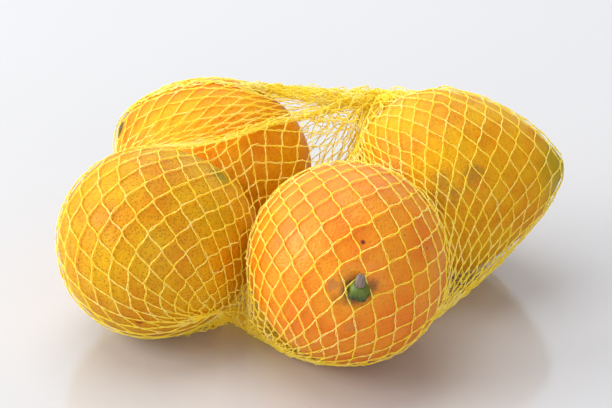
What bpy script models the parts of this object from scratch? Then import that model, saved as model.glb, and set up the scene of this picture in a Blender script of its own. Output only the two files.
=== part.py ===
"""A net of four lemons, drawn tight and closed at both ends, as one solid.

The fruit are turned formers that stay in the file as guides. The net starts as a sphere of diamond cells with its
poles at the two closures. Its knots are then drawn in until the strands between them have their knitted length
and everything lies outside the fruit and above the surface. The upper side sags along the valley between the
fruit, and each cell is pressed in a little at the end, so that the yarn stands out as ridges. Metres, +Z up, with
the origin in the middle of the surface under the net.
"""

import math
from typing import NamedTuple

import bmesh
import bpy
import numpy as np
from mathutils import Matrix, Vector

# The net.
YARN = 0.0008  # thickness of the knitted strand
STRAND = 0.0066  # length of a strand between two knots
CELLS_ROUND = 38
CELLS_LONG = 20
CELL_HOLLOW = 0.18  # how deep a cell is pressed in, as a share of its width
FLAT_UNDER = 0.0004  # knots lower than this lie flat on the surface
FRONT_CLOSURE = Vector((-0.0282, -0.0146, 0.0040))
BACK_CLOSURE = Vector((0.0216, 0.0587, 0.0520))

# Drawing the net tight.
START_MARGIN = 0.025
DRAW_ROUNDS = 500
PULLS = 4  # pulls along the strands in each round
PULL_SHARE = 0.8  # how much of a strand's surplus one pull takes up
SLACK_PULL = 0.15  # how strongly slack strands are gathered in
SLACK_LENGTH = 0.6  # the share of its length below which a strand isn't gathered in further
WEIGHT = 0.00003
GLIDE = 0.92  # how much of a round's movement carries on into the next
MOST_GLIDE = 0.0015
MOST_PUSH = 0.003

# The valley in the middle, where the net sags down between the four fruit.
VALLEY_ENDS = ((-0.012, -0.002), (0.006, 0.036))
VALLEY_REACH = 0.030  # how far from the valley's line the net sags
SAG_ABOVE = 0.030  # only the upper side of the net sags
SAG_STEPS = 36
SAG_STEP = 0.0005

# The turned profile of a lemon.
PROFILE_STEPS = 40
TURN_STEPS = 40
STEM_ROUNDNESS = (2.2, 0.5)
STEEPEST = 6.0  # the most that the profile's radius may change for each metre along the axis
SLOPE_STEP = 0.00001
LOWEST_SAMPLES = 400  # places along the axis at which a fruit's lowest point is looked for
MERGE = 0.00001
TINY = 1e-9

# The stub of stem that stands out through the net on one fruit.
STUB_FRUIT = "front_middle"
STUB_LENGTH = 0.0080
STUB_SUNK = 0.0025  # how much of it is inside the solid
STUB_BASE = 0.0028
STUB_TIP = 0.0019
STUB_SIDES = 12
STUB_LEAN = (0.08, -0.36, 0.93)  # the way it points

SHARP = math.radians(15)
PEEL_YELLOW = (0.95, 0.60, 0.03, 1.0)
PEEL_ROUGHNESS = 0.45
NET_YELLOW = (0.98, 0.78, 0.05, 1.0)
NET_ROUGHNESS = 0.40


class Lemon(NamedTuple):
    """One fruit: where its middle lies, where its blossom end points, and its sizes."""

    name: str
    x: float
    y: float
    heading: float  # degrees from +X towards +Y
    tilt: float  # degrees above level
    radius: float
    stem_reach: float
    blossom_reach: float
    roundness: tuple  # of the blossom end: (2, 0.5) is half an ellipse, (1.6, 0.7) a blunt cone

    @property
    def axis(self):
        heading, tilt = math.radians(self.heading), math.radians(self.tilt)
        level = math.cos(tilt)
        return np.array((level * math.cos(heading), level * math.sin(heading), math.sin(tilt)))

    def radius_at(self, along):
        """The radius at places along the axis, from -stem_reach to blossom_reach."""
        along = np.asarray(along, float)
        to_blossom = along > 0
        reach = np.where(to_blossom, self.blossom_reach, self.stem_reach)
        power = np.where(to_blossom, self.roundness[0], STEM_ROUNDNESS[0])
        root = np.where(to_blossom, self.roundness[1], STEM_ROUNDNESS[1])
        share = np.minimum(np.abs(along) / reach, 1)
        return self.radius * (1 - share**power) ** root

    @property
    def middle(self):
        """The middle's place, at the height where the fruit just clears the net under it."""
        along = np.linspace(-self.stem_reach, self.blossom_reach, LOWEST_SAMPLES)
        level = math.cos(math.radians(self.tilt))
        lowest = (along * self.axis[2] - self.radius_at(along) * level).min()
        return np.array((self.x, self.y, YARN - lowest))


LEMONS = (
    Lemon("front_left", -0.0514, -0.0165, 30, -8, 0.0302, 0.0312, 0.0353, (1.9, 0.56)),
    Lemon("back_left", -0.0342, 0.0416, 157, 14, 0.0305, 0.0331, 0.0385, (1.75, 0.62)),
    Lemon("front_middle", 0.0095, -0.0332, 93, -14, 0.0310, 0.0359, 0.0390, (1.9, 0.58)),
    Lemon("right", 0.0433, 0.0270, -3, 10, 0.0316, 0.0312, 0.0405, (1.6, 0.68)),
)


def clear_scene():
    for obj in list(bpy.data.objects):
        bpy.data.objects.remove(obj)


def make_collection(name, hidden=False):
    collection = bpy.data.collections.new(name)
    bpy.context.scene.collection.children.link(collection)
    collection.hide_render = hidden
    return collection


def make_material(name, colour, roughness):
    material = bpy.data.materials.new(name)
    material.use_nodes = True
    shader = material.node_tree.nodes["Principled BSDF"]
    shader.inputs["Base Color"].default_value = colour
    shader.inputs["Roughness"].default_value = roughness
    return material


def make_former(lemon, collection, material):
    """A turned lemon, kept as a guide: its profile from the blossom end to the stem end, and a Screw."""
    profile = bmesh.new()
    middle = (lemon.blossom_reach - lemon.stem_reach) / 2
    reach = (lemon.blossom_reach + lemon.stem_reach) / 2
    last = None
    for step in range(PROFILE_STEPS + 1):
        along = middle + reach * math.cos(math.pi * step / PROFILE_STEPS)
        point = profile.verts.new((float(lemon.radius_at(along)), 0, along))
        if last:
            profile.edges.new((last, point))
        last = point
    mesh = bpy.data.meshes.new(lemon.name + "_former")
    profile.to_mesh(mesh)
    profile.free()
    former = bpy.data.objects.new(mesh.name, mesh)
    former.data.materials.append(material)
    collection.objects.link(former)
    former.location = lemon.middle
    former.rotation_euler = Vector(lemon.axis).to_track_quat("Z", "Y").to_euler()
    former.hide_render = True
    former.display_type = "WIRE"
    screw = former.modifiers.new("turned", "SCREW")
    screw.axis = "Z"
    screw.steps = screw.render_steps = TURN_STEPS
    screw.use_merge_vertices = True
    screw.merge_threshold = MERGE


def start_sphere():
    """A closed sphere of diamond cells round all the fruit, with its two poles at the closures."""
    bm = bmesh.new()
    bmesh.ops.create_uvsphere(bm, u_segments=CELLS_ROUND, v_segments=CELLS_LONG, radius=1)
    square_edges = bm.edges[:]
    bmesh.ops.poke(bm, faces=bm.faces[:])
    bmesh.ops.dissolve_edges(bm, edges=square_edges, use_verts=False)
    bm.verts.index_update()
    by_height = sorted(bm.verts, key=lambda vert: vert.co.z)
    ends = by_height[0].index, by_height[-1].index
    middles = np.array([lemon.middle for lemon in LEMONS])
    reach = max(lemon.radius for lemon in LEMONS)
    low, high = middles.min(axis=0) - reach, middles.max(axis=0) + reach
    turn = (BACK_CLOSURE - FRONT_CLOSURE).to_track_quat("Z", "X").to_matrix().to_4x4()
    stretch = Matrix.Diagonal((*((high - low) / 2 + START_MARGIN), 1))
    place = Matrix.Translation((low + high) / 2)
    bmesh.ops.transform(bm, verts=bm.verts, matrix=place @ stretch @ turn)
    return bm, ends


def clearance(points, gap):
    """The move that takes each point out of the fruit, to the gap from the nearest peel."""
    move = np.zeros_like(points)
    step = SLOPE_STEP
    for lemon in LEMONS:
        axis = lemon.axis
        from_middle = points + move - lemon.middle
        along = from_middle @ axis
        outward = from_middle - along[:, None] * axis
        out = np.linalg.norm(outward, axis=1)
        outward /= np.maximum(out, TINY)[:, None]
        near = np.clip(along, 2 * step - lemon.stem_reach, lemon.blossom_reach - 2 * step)
        slope = (lemon.radius_at(near + step) - lemon.radius_at(near - step)) / (2 * step)
        slope = np.clip(slope, -STEEPEST, STEEPEST)
        lean = 1 / np.sqrt(1 + slope**2)
        depth = np.minimum((lemon.radius_at(near) - out) * lean + gap, MOST_PUSH)
        inside = (depth > 0) & (np.abs(along - near) < gap)
        normal = (outward - slope[:, None] * axis) * lean[:, None]
        move[inside] += (normal * depth[:, None])[inside]
    return move


def draw_tight(knots, strands, ends):
    """The knots' places once the net is drawn in: strands at their length, clear of the fruit and the floor."""
    count = len(knots)
    first, second = strands.T
    strands_at = np.bincount(strands.ravel(), minlength=count).astype(float)[:, None]

    def gathered(at_first, at_second):
        """Each knot's share of what its strands do to it."""
        total = np.zeros_like(knots)
        np.add.at(total, first, at_first)
        np.add.at(total, second, at_second)
        return total / strands_at

    closures = np.array((FRONT_CLOSURE, BACK_CLOSURE))
    glide = np.zeros_like(knots)
    for _ in range(DRAW_ROUNDS):
        before = knots
        knots = knots + glide - (0, 0, WEIGHT)
        for _ in range(PULLS):
            reach = knots[second] - knots[first]
            length = np.maximum(np.linalg.norm(reach, axis=1), TINY)
            pull = np.maximum(1 - STRAND / length, 0)
            pull += SLACK_PULL * np.maximum(1 - SLACK_LENGTH * STRAND / length, 0)
            pull = PULL_SHARE * pull[:, None] * reach
            knots = knots + gathered(pull, -pull)
            push = clearance((knots[first] + knots[second]) / 2, YARN / 2)
            knots = knots + gathered(push, push)
            knots = knots + clearance(knots, YARN / 2)
            knots[:, 2] = np.maximum(knots[:, 2], 0)
            knots[list(ends)] = closures
        glide = GLIDE * (knots - before)
        speed = np.maximum(np.linalg.norm(glide, axis=1), TINY)
        glide *= np.minimum(1, MOST_GLIDE / speed)[:, None]
    return knots


def sag(knots):
    """The knots' places once the upper side has sunk along the valley, as far as the fruit let it."""
    start, end = np.array(VALLEY_ENDS)
    line = end - start
    for _ in range(SAG_STEPS):
        level = knots[:, :2] - start
        share = np.clip(level @ line / (line @ line), 0, 1)
        away = np.linalg.norm(level - share[:, None] * line, axis=1)
        near = np.clip(1 - away / VALLEY_REACH, 0, 1)
        drop = SAG_STEP * near**2 * (3 - 2 * near) * (knots[:, 2] > SAG_ABOVE)
        knots = knots - drop[:, None] * (0, 0, 1)
        knots = knots + clearance(knots, YARN / 2)
    return knots


def press_cells(bm):
    """Presses each cell in by a share of its width, and leaves the cells on the floor flat."""
    for vert in bm.verts:
        if vert.co.z < FLAT_UNDER:
            vert.co.z = 0
    bm.normal_update()
    for cell in bm.faces[:]:
        if all(vert.co.z == 0 for vert in cell.verts):
            continue
        hollow = CELL_HOLLOW * math.sqrt(cell.calc_area())
        bmesh.ops.poke(bm, faces=[cell], offset=-hollow, center_mode="MEAN")
    bmesh.ops.triangulate(bm, faces=bm.faces)


def make_net(collection, material):
    bm, ends = start_sphere()
    knots = np.array([vert.co for vert in bm.verts])
    strands = np.array([[vert.index for vert in edge.verts] for edge in bm.edges])
    for vert, place in zip(bm.verts, sag(draw_tight(knots, strands, ends))):
        vert.co = place
    press_cells(bm)
    mesh = bpy.data.meshes.new("net_of_lemons")
    bm.to_mesh(mesh)
    bm.free()
    mesh.materials.append(material)
    net = bpy.data.objects.new(mesh.name, mesh)
    collection.objects.link(net)
    join_stub(net)
    net.data.shade_smooth()
    net.data.set_sharp_from_angle(angle=SHARP)


def join_stub(net):
    """A tapered stub of stem at the fruit's stem end, joined to the solid."""
    fruit = next(lemon for lemon in LEMONS if lemon.name == STUB_FRUIT)
    lean = Vector(STUB_LEAN).normalized()
    foot = Vector(fruit.middle - fruit.axis * (fruit.stem_reach + YARN))
    place = Matrix.Translation(foot + lean * (STUB_LENGTH / 2 - STUB_SUNK))
    bm = bmesh.new()
    bmesh.ops.create_cone(
        bm,
        cap_ends=True,
        segments=STUB_SIDES,
        radius1=STUB_BASE,
        radius2=STUB_TIP,
        depth=STUB_LENGTH,
        matrix=place @ lean.to_track_quat("Z", "Y").to_matrix().to_4x4(),
    )
    mesh = bpy.data.meshes.new("stem_stub")
    bm.to_mesh(mesh)
    bm.free()
    stub = bpy.data.objects.new(mesh.name, mesh)
    bpy.context.scene.collection.objects.link(stub)
    union = net.modifiers.new("stub", "BOOLEAN")
    union.operation = "UNION"
    union.object = stub
    bpy.context.view_layer.update()
    joined = net.evaluated_get(bpy.context.evaluated_depsgraph_get())
    net.data = bpy.data.meshes.new_from_object(joined)
    net.modifiers.clear()
    bpy.data.objects.remove(stub)


def main():
    clear_scene()
    parts = make_collection("net_of_lemons_parts")
    guides = make_collection("guides", hidden=True)
    peel = make_material("peel", PEEL_YELLOW, PEEL_ROUGHNESS)
    yarn = make_material("net_yarn", NET_YELLOW, NET_ROUGHNESS)
    for lemon in LEMONS:
        make_former(lemon, guides, peel)
    make_net(parts, yarn)


main()
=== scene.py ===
"""Looks for a net of lemons: four turned fruit inside a knitted net that is drawn tight and closed at both
ends.

The net is drawn round the fruit twice. First as a lattice of knots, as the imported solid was. Then each knot
is opened into the short joined length where two cords run side by side, and the lattice is drawn in again.
Each cord is twisted from two plies, which are swept along the cord's path at their true thickness. Denser
bundles of the same cord lie where the net is bunched. Metres, +Z up.
"""

import logging
import math
from dataclasses import dataclass, field
from enum import Enum
from functools import cached_property
from typing import Callable, Union

import bpy
import numpy as np
from mathutils import Euler, Matrix, Vector, noise


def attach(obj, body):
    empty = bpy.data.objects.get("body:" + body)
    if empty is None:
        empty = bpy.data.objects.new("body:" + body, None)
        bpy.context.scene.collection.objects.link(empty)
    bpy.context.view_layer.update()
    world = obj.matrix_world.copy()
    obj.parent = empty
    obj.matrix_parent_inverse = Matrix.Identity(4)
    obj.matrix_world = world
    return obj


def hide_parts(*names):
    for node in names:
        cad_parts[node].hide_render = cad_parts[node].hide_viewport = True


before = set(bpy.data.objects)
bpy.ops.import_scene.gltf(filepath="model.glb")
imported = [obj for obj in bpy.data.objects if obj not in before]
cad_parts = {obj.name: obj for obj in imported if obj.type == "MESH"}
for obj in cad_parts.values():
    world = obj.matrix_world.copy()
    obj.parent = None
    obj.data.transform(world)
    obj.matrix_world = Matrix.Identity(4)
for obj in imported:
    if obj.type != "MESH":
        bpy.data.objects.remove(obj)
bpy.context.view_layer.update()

Array = np.ndarray
Colour = tuple[float, float, float]
Point = tuple[float, float, float]
Faces = list[list[int]]
Socket = bpy.types.NodeSocket
Value = Union[Socket, float, Colour]  # the socket that feeds an input, or a constant for it

NODE = "net_of_lemons"
BODY = "root"
TINY = 1e-9
FULL_TURN = 2 * math.pi
NOISE_RANGE = (0.3, 0.7)  # most of a soft noise's values lie between these

log = logging.getLogger("net_of_lemons")


class Slot(Enum):
    """The record's material slots."""

    NET = "net"
    PEEL = "peel"
    STEM = "stem"


# ------------------------------------------------------------------------------
# Shader graphs


class Graph:
    """One node tree being wired: each call makes a node, fills its inputs and gives back an output."""

    def __init__(self, tree: bpy.types.NodeTree) -> None:
        """Takes the tree that the nodes go into."""
        self.tree = tree

    def feed(self, socket: bpy.types.NodeSocket, value: Value) -> None:
        """Links or sets one input.

        Args:
            socket: The input.
            value: A socket to link from, a number, or a colour or vector of three or four numbers.
        """
        if isinstance(value, bpy.types.NodeSocket):
            self.tree.links.new(value, socket)
        elif isinstance(value, tuple) and len(value) == 3 and socket.type == "RGBA":
            socket.default_value = (*value, 1.0)
        else:
            socket.default_value = value

    def add(self, kind: str, inputs: dict[str | int, Value], out: str | int = 0, **settings: str) -> Socket:
        """Makes a node.

        Args:
            kind: The node's type.
            inputs: What goes into each input, by name or number.
            out: The output that is given back.
            **settings: The node's own settings.

        Returns:
            The output socket.
        """
        node = self.tree.nodes.new(kind)
        for name, value in settings.items():
            setattr(node, name, value)
        for key, value in inputs.items():
            self.feed(node.inputs[key], value)
        return node.outputs[out]

    def math(self, operation: str, first: Value, second: Value) -> Socket:
        """A Math node's result."""
        return self.add("ShaderNodeMath", {0: first, 1: second}, operation=operation)

    def scaled(self, value: Value, factor: float, offset: float) -> Socket:
        """The value times a factor, plus an offset."""
        return self.add("ShaderNodeMath", {0: value, 1: factor, 2: offset}, operation="MULTIPLY_ADD")

    def mix(self, share: Value, first: Value, second: Value) -> Socket:
        """The colour that lies between two colours, by share."""
        return self.add("ShaderNodeMix", {0: share, 6: first, 7: second}, out=2, data_type="RGBA")

    def step(self, value: Value, low: Value, high: Value, start: Value = 0.0, end: Value = 1.0) -> Socket:
        """A smooth change from start to end as value goes from low to high."""
        inputs = {"Value": value, "From Min": low, "From Max": high, "To Min": start, "To Max": end}
        return self.add("ShaderNodeMapRange", inputs, interpolation_type="SMOOTHSTEP")

    def spread(self, soft: Value, low: float, high: float) -> Socket:
        """Soft noise spread from low to high."""
        return self.step(soft, *NOISE_RANGE, low, high)

    def noise(self, vector: Value, size: Value, detail: float = 2.0) -> Socket:
        """Soft noise from about 0 to 1, with features of about the size given in metres."""
        scale = self.math("DIVIDE", 1.0, size)
        return self.add("ShaderNodeTexNoise", {"Vector": vector, "Scale": scale, "Detail": detail})

    def split(self, vector: Value) -> tuple[Socket, ...]:
        """The three parts of a vector."""
        return tuple(self.add("ShaderNodeSeparateXYZ", {0: vector}).node.outputs)

    def group(self, tree: bpy.types.NodeTree, inputs: dict[str, Value]) -> bpy.types.NodeOutputs:
        """Places a node group with this graph's own values.

        Args:
            tree: The group.
            inputs: What goes into each of its inputs.

        Returns:
            The group's outputs, by name.
        """
        node = self.tree.nodes.new("ShaderNodeGroup")
        node.node_tree = tree
        for key, value in inputs.items():
            self.feed(node.inputs[key], value)
        return node.outputs


class EffectGroup:
    """A node group with named inputs and outputs, which several materials share."""

    def __init__(self, name: str, inputs: dict[str, float | None], outputs: tuple[str, ...]) -> None:
        """Makes the empty group.

        Args:
            name: The group's name.
            inputs: Each input's name and usual value, or None for a vector.
            outputs: The names of the outputs, each one number.
        """
        self.tree = bpy.data.node_groups.new(name, "ShaderNodeTree")
        for label, value in inputs.items():
            kind = "NodeSocketVector" if value is None else "NodeSocketFloat"
            socket = self.tree.interface.new_socket(name=label, in_out="INPUT", socket_type=kind)
            if value is not None:
                socket.default_value = value
        for label in outputs:
            self.tree.interface.new_socket(name=label, in_out="OUTPUT", socket_type="NodeSocketFloat")
        self.graph = Graph(self.tree)
        self.inputs = self.tree.nodes.new("NodeGroupInput").outputs
        self.outputs = self.tree.nodes.new("NodeGroupOutput").inputs

    def give(self, name: str, value: Value) -> None:
        """Feeds one output of the group."""
        self.graph.feed(self.outputs[name], value)


def pore_group() -> bpy.types.NodeTree:
    """Oil glands in peel: dark dots of uneven size, each in a little dimple.

    Returns:
        The group, with Vector, Spacing and Width in, and Dots and Dimples out.
    """
    scatter, uneven_size, dimple_width = 0.8, 0.004, 1.8
    group = EffectGroup("peel_pores", {"Vector": None, "Spacing": 0.001, "Width": 0.3}, ("Dots", "Dimples"))
    graph, given = group.graph, group.inputs
    scale = graph.math("DIVIDE", 1.0, given["Spacing"])
    cells = {"Vector": given["Vector"], "Scale": scale, "Randomness": scatter}
    away = graph.add("ShaderNodeTexVoronoi", cells, out="Distance", feature="F1")
    uneven = graph.scaled(graph.noise(given["Vector"], uneven_size), 0.5, 0.75)
    width = graph.math("MULTIPLY", given["Width"], uneven)
    group.give("Dots", graph.step(away, 0.0, width, 1.0, 0.0))
    group.give("Dimples", graph.step(away, 0.0, graph.math("MULTIPLY", width, dimple_width), 1.0, 0.0))
    return group.tree


def mottle_group() -> bpy.types.NodeTree:
    """Uneven cover: soft patches of a given size with a given share of the surface.

    Returns:
        The group, with Vector, Size and Share in, and Cover out.
    """
    group = EffectGroup("mottle", {"Vector": None, "Size": 0.01, "Share": 0.5}, ("Cover",))
    graph, given = group.graph, group.inputs
    softness = 0.3
    soft = graph.noise(given["Vector"], given["Size"], detail=3.0)
    low = graph.scaled(graph.math("SUBTRACT", 1.0, given["Share"]), 0.5, 0.15)
    group.give("Cover", graph.step(soft, low, graph.math("ADD", low, softness)))
    return group.tree


def patch_group() -> bpy.types.NodeTree:
    """One patch with a ragged edge round a point: a scar, a green tint, a scuff, or a ring of painted shade.

    Returns:
        The group, with Vector, Centre, Radius, Softness and Ragged in, and Cover out.
    """
    sizes = {"Vector": None, "Centre": None, "Radius": 0.003, "Softness": 0.4, "Ragged": 0.3}
    group = EffectGroup("patch", sizes, ("Cover",))
    graph, given = group.graph, group.inputs
    wave_size, wave_reach = 0.7, 3.0  # of the edge's waves, as shares of the radius
    ends = {0: given["Vector"], 1: given["Centre"]}
    away = graph.add("ShaderNodeVectorMath", ends, out="Value", operation="DISTANCE")
    waves = graph.noise(given["Vector"], graph.math("MULTIPLY", given["Radius"], wave_size))
    ragged = graph.math("MULTIPLY", graph.math("SUBTRACT", waves, 0.5), given["Ragged"])
    ragged = graph.math("MULTIPLY", ragged, wave_reach)
    share = graph.math("ADD", graph.math("DIVIDE", away, given["Radius"]), ragged)
    inner = graph.math("SUBTRACT", 1.0, given["Softness"])
    group.give("Cover", graph.step(share, inner, 1.0, 1.0, 0.0))
    return group.tree


def fibre_group() -> bpy.types.NodeTree:
    """Fibres that run along one way, for yarn, wood and the green of the calyx.

    Returns:
        The group, with Vector, Fineness and Stretch in, and Streaks out.
    """
    group = EffectGroup("fibres", {"Vector": None, "Fineness": 0.0003, "Stretch": 8.0}, ("Streaks",))
    graph, given = group.graph, group.inputs
    x, y, z = graph.split(given["Vector"])
    drawn = graph.add("ShaderNodeCombineXYZ", {0: x, 1: y, 2: graph.math("DIVIDE", z, given["Stretch"])})
    group.give("Streaks", graph.noise(drawn, given["Fineness"], detail=3.0))
    return group.tree


@dataclass(frozen=True)
class Effects:
    """The node groups that the materials share."""

    pores: bpy.types.NodeTree = field(default_factory=pore_group)
    mottle: bpy.types.NodeTree = field(default_factory=mottle_group)
    patch: bpy.types.NodeTree = field(default_factory=patch_group)
    fibres: bpy.types.NodeTree = field(default_factory=fibre_group)


@dataclass(frozen=True)
class Patch:
    """A mark on a piece: its centre in the piece's own frame, its radius and its colour."""

    centre: Point
    radius: float
    colour: Colour
    strength: float = 0.8
    softness: float = 0.5
    ragged: float = 0.3


@dataclass
class Finish:
    """A material in the making: its graph, its Principled shader and the piece's own coordinates."""

    name: str
    origin: Vector | None = None  # where the piece's own frame lies, if not at the shared one
    turn: Euler | None = None

    def __post_init__(self) -> None:
        """Makes the material."""
        self.material = bpy.data.materials.new(self.name)
        self.material.use_nodes = True
        self.graph = Graph(self.material.node_tree)
        self.shader = self.material.node_tree.nodes["Principled BSDF"]
        self.place = self.graph.add("ShaderNodeTexCoord", {}, out="Object")
        if self.origin is not None:
            own = {"Vector": self.place, "Location": tuple(self.origin), "Rotation": tuple(self.turn)}
            self.place = self.graph.add("ShaderNodeMapping", own, vector_type="TEXTURE")

    def set(self, **values: Value) -> None:
        """Sets or links the shader's inputs, named with underscores for spaces."""
        for name, value in values.items():
            self.graph.feed(self.shader.inputs[name.replace("_", " ")], value)

    def bump(self, height: Value, depth: float) -> None:
        """Relief from a height of 0 to 1 over a depth in metres."""
        relief = {"Height": height, "Distance": depth, "Strength": 1.0}
        self.set(Normal=self.graph.add("ShaderNodeBump", relief))

    def ragged_height(self, vector: Value, size: float, reach: float) -> Socket:
        """How far along the piece's own Z a place is, blurred so that a colour's edge there is wavy.

        Args:
            vector: What the waves are drawn from.
            size: Their size.
            reach: How far they go from end to end.

        Returns:
            The distance.
        """
        waves = self.graph.scaled(self.graph.noise(vector, size), reach, -reach / 2)
        return self.graph.math("ADD", self.graph.split(self.place)[2], waves)

    def mark(self, colour: Value, patch: Patch, effects: Effects) -> Socket:
        """Lays a patch over a colour.

        Args:
            colour: The colour so far.
            patch: The mark.
            effects: The shared node groups.

        Returns:
            The new colour.
        """
        sizes = {"Vector": self.place, "Centre": patch.centre, "Radius": patch.radius}
        edges = {"Softness": patch.softness, "Ragged": patch.ragged}
        cover = self.graph.group(effects.patch, sizes | edges)["Cover"]
        return self.graph.mix(self.graph.math("MULTIPLY", cover, patch.strength), colour, patch.colour)


# ------------------------------------------------------------------------------
# Finishes


@dataclass(frozen=True)
class PeelFinish:
    """The peel of one fruit: its two main colours, its pores, the tint of its ends, and its marks and patches
    of painted shade.
    """

    yellow: Colour
    orange: Colour
    orange_share: float = 0.5
    pore_colour: Colour = (0.36, 0.12, 0.004)
    pore_strength: float = 0.45
    pore_spacing: float = 0.00105
    pore_width: float = 0.42
    tip_colour: Colour = (0.20, 0.20, 0.010)
    tip_strength: float = 0.8
    tip_reach: float = 0.006
    tip_waves: tuple[float, float] = (0.004, 0.006)  # in the edge of its tint: their size and reach
    mottle_size: float = 0.016
    freckle_size: float = 0.0025
    freckle_share: float = 0.4
    freckle_strength: float = 0.4
    freckle_depth: float = 0.75  # how far a freckle's colour goes towards the orange
    patches: tuple[Patch, ...] = ()
    swell_size: float = 0.0030
    relief: float = 0.00026
    roughness: tuple[float, float] = (0.33, 0.50)
    roughness_size: float = 0.006
    shine: float = 0.15

    def make(
        self, name: str, origin: Vector, turn: Euler, tip: float, seed: float, effects: Effects
    ) -> bpy.types.Material:
        """Builds the material.

        Args:
            name: The material's name.
            origin: The fruit's middle.
            turn: How the fruit's own frame is turned.
            tip: How far the blossom end is from the fruit's middle, along its own Z.
            seed: Sets this fruit's mottling apart from the others'.
            effects: The shared node groups.

        Returns:
            The material.
        """
        finish = Finish(name, origin, turn)
        graph, place = finish.graph, finish.place
        shift = (0.13 * seed, 0.07 * seed, 0.0)
        apart = graph.add("ShaderNodeVectorMath", {0: place, 1: shift}, operation="ADD")
        broad = {"Vector": apart, "Size": self.mottle_size, "Share": self.orange_share}
        colour = graph.mix(graph.group(effects.mottle, broad)["Cover"], self.yellow, self.orange)
        freckles = {"Vector": apart, "Size": self.freckle_size, "Share": self.freckle_share}
        cover = graph.group(effects.mottle, freckles)["Cover"]
        freckled = graph.math("MULTIPLY", cover, self.freckle_strength)
        colour = graph.mix(freckled, colour, graph.mix(self.freckle_depth, colour, self.orange))
        spots = {"Vector": apart, "Spacing": self.pore_spacing, "Width": self.pore_width}
        pores = graph.group(effects.pores, spots)
        dots = graph.math("MULTIPLY", pores["Dots"], self.pore_strength)
        colour = graph.mix(dots, colour, self.pore_colour)
        height = finish.ragged_height(apart, *self.tip_waves)
        end = graph.step(height, tip - self.tip_reach, tip, 0.0, self.tip_strength)
        colour = graph.mix(end, colour, self.tip_colour)
        for patch in self.patches:
            colour = finish.mark(colour, patch, effects)
        swell = graph.math("MULTIPLY", graph.noise(apart, self.swell_size, detail=0.0), 0.5)
        finish.bump(graph.math("SUBTRACT", swell, graph.math("MULTIPLY", pores["Dimples"], 0.5)), self.relief)
        rough = graph.spread(graph.noise(apart, self.roughness_size), *self.roughness)
        finish.set(Base_Color=colour, Roughness=rough, Subsurface_Weight=0.08, Subsurface_Scale=0.001)
        finish.set(Subsurface_Radius=(1.0, 0.5, 0.12), Specular_IOR_Level=self.shine)
        return finish.material


@dataclass(frozen=True)
class YarnFinish:
    """Yellow polyethylene yarn: a little uneven in colour, slightly glossy, with fine fibres along it, and a
    faint painted glow that lightens it in shade.
    """

    light: Colour = (1.0, 0.84, 0.24)
    deep: Colour = (1.0, 0.73, 0.06)
    painted_glow: Colour = (1.0, 0.62, 0.02)  # painted light: a faint yellow emission that lightens the yarn where it lies in shade
    painted_glow_strength: float = 0.10
    mottle_size: float = 0.007
    fibre_size: float = 0.00025
    fibre_stretch: float = 3.0
    relief: float = 0.00005
    roughness: tuple[float, float] = (0.30, 0.48)
    shine: float = 0.10
    spot: Patch = Patch((-0.0280, -0.0165, 0.0014), 0.0018, (0.14, 0.015, 0.010), 0.9, 0.5, 0.2)

    def make(self, name: str, effects: Effects) -> bpy.types.Material:
        """Builds the material.

        Args:
            name: The material's name.
            effects: The shared node groups.

        Returns:
            The material.
        """
        finish = Finish(name)
        graph, place = finish.graph, finish.place
        mottle = {"Vector": place, "Size": self.mottle_size, "Share": 0.5}
        colour = graph.mix(graph.group(effects.mottle, mottle)["Cover"], self.deep, self.light)
        colour = finish.mark(colour, self.spot, effects)
        fibres = {"Vector": place, "Fineness": self.fibre_size, "Stretch": self.fibre_stretch}
        streaks = graph.group(effects.fibres, fibres)["Streaks"]
        finish.bump(streaks, self.relief)
        rough = graph.spread(streaks, *self.roughness)
        finish.set(Base_Color=colour, Roughness=rough, Subsurface_Weight=1.0, Subsurface_Scale=0.0004)
        finish.set(Subsurface_Radius=(0.8, 1.0, 0.7), Specular_IOR_Level=self.shine)
        # Painted light: a faint yellow emission lightens the yarn, most of all where it lies in shade.
        finish.set(Emission_Color=self.painted_glow, Emission_Strength=self.painted_glow_strength)
        return finish.material


@dataclass(frozen=True)
class StemFinish:
    """Plant matter that runs from one colour at its foot to another at its top, with streaks along it."""

    foot: Colour
    top: Colour
    streak: Colour
    low: float  # where the foot's colour ends, along the stem
    high: float  # where the top's colour begins
    roughness: tuple[float, float]
    relief: float
    waves: tuple[float, float] = (0.0012, 0.0012)  # in the edge between the colours: their size and reach
    streak_size: float = 0.0005
    streak_stretch: float = 6.0
    streak_edge: tuple[float, float] = (0.45, 0.75)
    streak_strength: float = 0.6

    def make(self, name: str, effects: Effects) -> bpy.types.Material:
        """Builds the material.

        Args:
            name: The material's name.
            effects: The shared node groups.

        Returns:
            The material.
        """
        finish = Finish(name)
        graph, place = finish.graph, finish.place
        height = finish.ragged_height(place, *self.waves)
        colour = graph.mix(graph.step(height, self.low, self.high), self.foot, self.top)
        fibres = {"Vector": place, "Fineness": self.streak_size, "Stretch": self.streak_stretch}
        streaks = graph.group(effects.fibres, fibres)["Streaks"]
        cover = graph.step(streaks, *self.streak_edge, 0.0, self.streak_strength)
        colour = graph.mix(cover, colour, self.streak)
        finish.bump(streaks, self.relief)
        rough = graph.spread(streaks, *self.roughness)
        finish.set(Base_Color=colour, Roughness=rough, Subsurface_Weight=0.05, Subsurface_Scale=0.001)
        return finish.material


# ------------------------------------------------------------------------------
# Meshes

END_TAPER = 0.55  # a tube's radius at its ends, as a share of the rest


def new_object(name: str, points: Array, faces: Faces, material: bpy.types.Material) -> bpy.types.Object:
    """A smooth-shaded mesh object.

    Args:
        name: The object's name.
        points: The vertices, one row each.
        faces: The faces, each a list of vertex numbers.
        material: Its finish.

    Returns:
        The object, linked to the scene.
    """
    mesh = bpy.data.meshes.new(name)
    mesh.from_pydata(points.tolist(), [], faces)
    mesh.update()
    mesh.shade_smooth()
    mesh.materials.append(material)
    made = bpy.data.objects.new(name, mesh)
    bpy.context.scene.collection.objects.link(made)
    return made


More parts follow.
